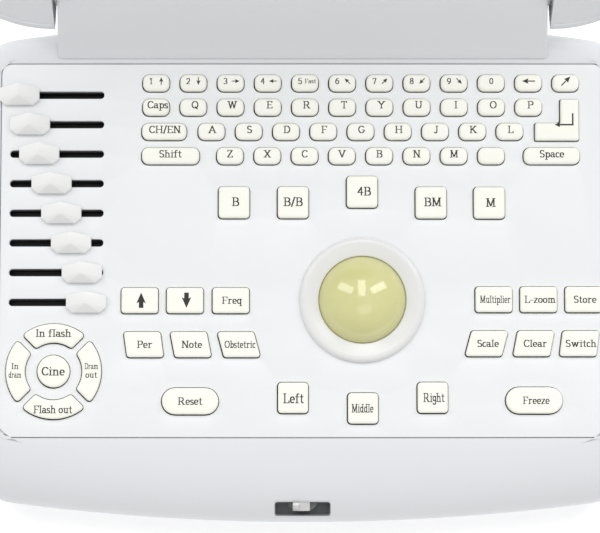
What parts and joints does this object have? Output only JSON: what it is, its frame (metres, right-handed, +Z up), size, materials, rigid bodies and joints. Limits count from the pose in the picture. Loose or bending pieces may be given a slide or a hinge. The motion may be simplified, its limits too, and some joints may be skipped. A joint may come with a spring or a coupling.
{
  "type": "ultrasound scanner",
  "caption": "Portable veterinary ultrasound scanner: white sloped control deck with ivory keys, gain slides, trackball and a folding display lid.",
  "frame": {"origin": "on the table plane, under the middle of the bounding box of the scanner with its lid open", "axes": "+X to the user's right, +Y away from the user towards the hinge, +Z up"},
  "size_m": [0.344, 0.359, 0.3325],
  "materials": {
    "case_plastic": "fine moulded texture, cool white",
    "panel_plastic": "satin white plate",
    "ring_plastic": "smooth white",
    "bezel_plastic": "fine moulded texture, pale grey",
    "rear_plate": "grey powder coat",
    "rubber": "dark grey rubber",
    "steel": "bright plated steel",
    "nickel": "nickel plated shell",
    "circuit_board": "green solder mask",
    "battery_wrap": "black shrink wrap",
    "black_plastic": "black moulded plastic",
    "ball_resin": "polished translucent yellow-green resin",
    "screen": "dark glossy display face",
    "knob_plastic": "smooth white",
    "key_plastic": "satin ivory"
  },
  "bodies": {
    "base": {"base_shell": "case_plastic", "top_cover": "case_plastic", "key_panel": "panel_plastic", "neck_cover": "case_plastic", "rear_panel": "rear_plate", "rubber_feet": "rubber", "case_screws": "steel", "key_board": "circuit_board", "slide_pots": "steel", "main_board": "circuit_board", "power_module": "steel", "battery_pack": "battery_wrap", "trackball_ring": "ring_plastic", "trackball_housing": "black_plastic", "probe_sockets": "nickel", "signal_ports": "nickel", "power_inlet": "black_plastic", "hinge_pins": "steel"},
    "lid": {"lid_back_cover": "case_plastic", "lid_bezel": "bezel_plastic", "lcd_module": "screen", "lid_hook": "steel", "lid_bumpers": "rubber"},
    "trackball": {"trackball": "ball_resin"},
    "ball_roller": {"ball_roller": "steel"},
    "slider_knob_1": {"slider_knob_1": "knob_plastic"},
    "slider_knob_2": {"slider_knob_2": "knob_plastic"},
    "slider_knob_3": {"slider_knob_3": "knob_plastic"},
    "slider_knob_4": {"slider_knob_4": "knob_plastic"},
    "slider_knob_5": {"slider_knob_5": "knob_plastic"},
    "slider_knob_6": {"slider_knob_6": "knob_plastic"},
    "slider_knob_7": {"slider_knob_7": "knob_plastic"},
    "slider_knob_8": {"slider_knob_8": "knob_plastic"},
    "number_row_keys": {"number_row_keys": "key_plastic"},
    "upper_row_keys": {"upper_row_keys": "key_plastic"},
    "home_row_keys": {"home_row_keys": "key_plastic"},
    "lower_row_keys": {"lower_row_keys": "key_plastic"},
    "enter_key": {"enter_key": "key_plastic"},
    "b_mode_key": {"b_mode_key": "key_plastic"},
    "double_b_key": {"double_b_key": "key_plastic"},
    "four_b_key": {"four_b_key": "key_plastic"},
    "bm_mode_key": {"bm_mode_key": "key_plastic"},
    "m_mode_key": {"m_mode_key": "key_plastic"},
    "left_upper_keys": {"left_upper_keys": "key_plastic"},
    "left_lower_keys": {"left_lower_keys": "key_plastic"},
    "right_upper_keys": {"right_upper_keys": "key_plastic"},
    "right_lower_keys": {"right_lower_keys": "key_plastic"},
    "reset_key": {"reset_key": "key_plastic"},
    "freeze_key": {"freeze_key": "key_plastic"},
    "left_click_key": {"left_click_key": "key_plastic"},
    "middle_click_key": {"middle_click_key": "key_plastic"},
    "right_click_key": {"right_click_key": "key_plastic"},
    "ring_top_key": {"ring_top_key": "key_plastic"},
    "ring_right_key": {"ring_right_key": "key_plastic"},
    "ring_bottom_key": {"ring_bottom_key": "key_plastic"},
    "ring_left_key": {"ring_left_key": "key_plastic"},
    "ring_centre_key": {"ring_centre_key": "key_plastic"},
    "power_rocker": {"power_rocker": "black_plastic"},
    "latch_catch": {"latch_catch": "steel"}
  },
  "joints": [
    {"name": "lid_hinge", "type": "hinge", "parent": "base", "child": "lid", "pos_m": [0, 0.07854, 0.08097], "axis": [1, 0, 0], "range_deg": [-20, 117]},
    {"name": "ball_roll", "type": "hinge", "parent": "base", "child": "trackball", "pos_m": [0.0304, -0.06962, 0.0387], "axis": [1, 0, 0], "continuous": true},
    {"name": "roller_spin", "type": "hinge", "parent": "base", "child": "ball_roller", "pos_m": [0.0304, -0.04138, 0.04216], "axis": [1, 0, 0], "continuous": true},
    {"name": "slide_1", "type": "slide", "parent": "base", "child": "slider_knob_1", "axis": [1, 0, 0], "range_m": [-0.0022, 0.0408]},
    {"name": "slide_2", "type": "slide", "parent": "base", "child": "slider_knob_2", "axis": [1, 0, 0], "range_m": [-0.0077, 0.0353]},
    {"name": "slide_3", "type": "slide", "parent": "base", "child": "slider_knob_3", "axis": [1, 0, 0], "range_m": [-0.0126, 0.0304]},
    {"name": "slide_4", "type": "slide", "parent": "base", "child": "slider_knob_4", "axis": [1, 0, 0], "range_m": [-0.019, 0.024]},
    {"name": "slide_5", "type": "slide", "parent": "base", "child": "slider_knob_5", "axis": [1, 0, 0], "range_m": [-0.0241, 0.0189]},
    {"name": "slide_6", "type": "slide", "parent": "base", "child": "slider_knob_6", "axis": [1, 0, 0], "range_m": [-0.0292, 0.0138]},
    {"name": "slide_7", "type": "slide", "parent": "base", "child": "slider_knob_7", "axis": [1, 0, 0], "range_m": [-0.0348, 0.0082]},
    {"name": "slide_8", "type": "slide", "parent": "base", "child": "slider_knob_8", "axis": [1, 0, 0], "range_m": [-0.0371, 0.0059]},
    {"name": "number_row_press", "type": "slide", "parent": "base", "child": "number_row_keys", "axis": [0, -0.1219, 0.9925], "range_m": [-0.0015, 0], "stiffness_N_per_m": 250, "springref_m": 0.0005},
    {"name": "upper_row_press", "type": "slide", "parent": "base", "child": "upper_row_keys", "axis": [0, -0.1219, 0.9925], "range_m": [-0.0015, 0], "stiffness_N_per_m": 250, "springref_m": 0.0005},
    {"name": "home_row_press", "type": "slide", "parent": "base", "child": "home_row_keys", "axis": [0, -0.1219, 0.9925], "range_m": [-0.0015, 0], "stiffness_N_per_m": 250, "springref_m": 0.0005},
    {"name": "lower_row_press", "type": "slide", "parent": "base", "child": "lower_row_keys", "axis": [0, -0.1219, 0.9925], "range_m": [-0.0015, 0], "stiffness_N_per_m": 250, "springref_m": 0.0005},
    {"name": "enter_press", "type": "slide", "parent": "base", "child": "enter_key", "axis": [0, -0.1219, 0.9925], "range_m": [-0.0015, 0], "stiffness_N_per_m": 250, "springref_m": 0.0005},
    {"name": "b_mode_press", "type": "slide", "parent": "base", "child": "b_mode_key", "axis": [0, -0.1219, 0.9925], "range_m": [-0.0015, 0], "stiffness_N_per_m": 250, "springref_m": 0.0005},
    {"name": "double_b_press", "type": "slide", "parent": "base", "child": "double_b_key", "axis": [0, -0.1219, 0.9925], "range_m": [-0.0015, 0], "stiffness_N_per_m": 250, "springref_m": 0.0005},
    {"name": "four_b_press", "type": "slide", "parent": "base", "child": "four_b_key", "axis": [0, -0.1219, 0.9925], "range_m": [-0.0015, 0], "stiffness_N_per_m": 250, "springref_m": 0.0005},
    {"name": "bm_mode_press", "type": "slide", "parent": "base", "child": "bm_mode_key", "axis": [0, -0.1219, 0.9925], "range_m": [-0.0015, 0], "stiffness_N_per_m": 250, "springref_m": 0.0005},
    {"name": "m_mode_press", "type": "slide", "parent": "base", "child": "m_mode_key", "axis": [0, -0.1219, 0.9925], "range_m": [-0.0015, 0], "stiffness_N_per_m": 250, "springref_m": 0.0005},
    {"name": "left_upper_press", "type": "slide", "parent": "base", "child": "left_upper_keys", "axis": [0, -0.1219, 0.9925], "range_m": [-0.0015, 0], "stiffness_N_per_m": 250, "springref_m": 0.0005},
    {"name": "left_lower_press", "type": "slide", "parent": "base", "child": "left_lower_keys", "axis": [0, -0.1219, 0.9925], "range_m": [-0.0015, 0], "stiffness_N_per_m": 250, "springref_m": 0.0005},
    {"name": "right_upper_press", "type": "slide", "parent": "base", "child": "right_upper_keys", "axis": [0, -0.1219, 0.9925], "range_m": [-0.0015, 0], "stiffness_N_per_m": 250, "springref_m": 0.0005},
    {"name": "right_lower_press", "type": "slide", "parent": "base", "child": "right_lower_keys", "axis": [0, -0.1219, 0.9925], "range_m": [-0.0015, 0], "stiffness_N_per_m": 250, "springref_m": 0.0005},
    {"name": "reset_press", "type": "slide", "parent": "base", "child": "reset_key", "axis": [0, -0.1219, 0.9925], "range_m": [-0.0015, 0], "stiffness_N_per_m": 250, "springref_m": 0.0005},
    {"name": "freeze_press", "type": "slide", "parent": "base", "child": "freeze_key", "axis": [0, -0.1219, 0.9925], "range_m": [-0.0015, 0], "stiffness_N_per_m": 250, "springref_m": 0.0005},
    {"name": "left_click_press", "type": "slide", "parent": "base", "child": "left_click_key", "axis": [0, -0.1219, 0.9925], "range_m": [-0.0015, 0], "stiffness_N_per_m": 250, "springref_m": 0.0005},
    {"name": "middle_click_press", "type": "slide", "parent": "base", "child": "middle_click_key", "axis": [0, -0.1219, 0.9925], "range_m": [-0.0015, 0], "stiffness_N_per_m": 250, "springref_m": 0.0005},
    {"name": "right_click_press", "type": "slide", "parent": "base", "child": "right_click_key", "axis": [0, -0.1219, 0.9925], "range_m": [-0.0015, 0], "stiffness_N_per_m": 250, "springref_m": 0.0005},
    {"name": "ring_top_press", "type": "slide", "parent": "base", "child": "ring_top_key", "axis": [0, -0.1219, 0.9925], "range_m": [-0.0015, 0], "stiffness_N_per_m": 250, "springref_m": 0.0005},
    {"name": "ring_right_press", "type": "slide", "parent": "base", "child": "ring_right_key", "axis": [0, -0.1219, 0.9925], "range_m": [-0.0015, 0], "stiffness_N_per_m": 250, "springref_m": 0.0005},
    {"name": "ring_bottom_press", "type": "slide", "parent": "base", "child": "ring_bottom_key", "axis": [0, -0.1219, 0.9925], "range_m": [-0.0015, 0], "stiffness_N_per_m": 250, "springref_m": 0.0005},
    {"name": "ring_left_press", "type": "slide", "parent": "base", "child": "ring_left_key", "axis": [0, -0.1219, 0.9925], "range_m": [-0.0015, 0], "stiffness_N_per_m": 250, "springref_m": 0.0005},
    {"name": "ring_centre_press", "type": "slide", "parent": "base", "child": "ring_centre_key", "axis": [0, -0.1219, 0.9925], "range_m": [-0.0015, 0], "stiffness_N_per_m": 250, "springref_m": 0.0005},
    {"name": "rocker_tip", "type": "hinge", "parent": "base", "child": "power_rocker", "pos_m": [0.0684, 0.06515, 0.027], "axis": [1, 0, 0], "range_deg": [0, 18]},
    {"name": "catch_slide", "type": "slide", "parent": "base", "child": "latch_catch", "axis": [1, 0, 0], "range_m": [0, 0.006]}
  ],
  "couplings": [
    {"joint": "roller_spin", "follows": "ball_roll", "ratio": -8.4667}
  ]
}
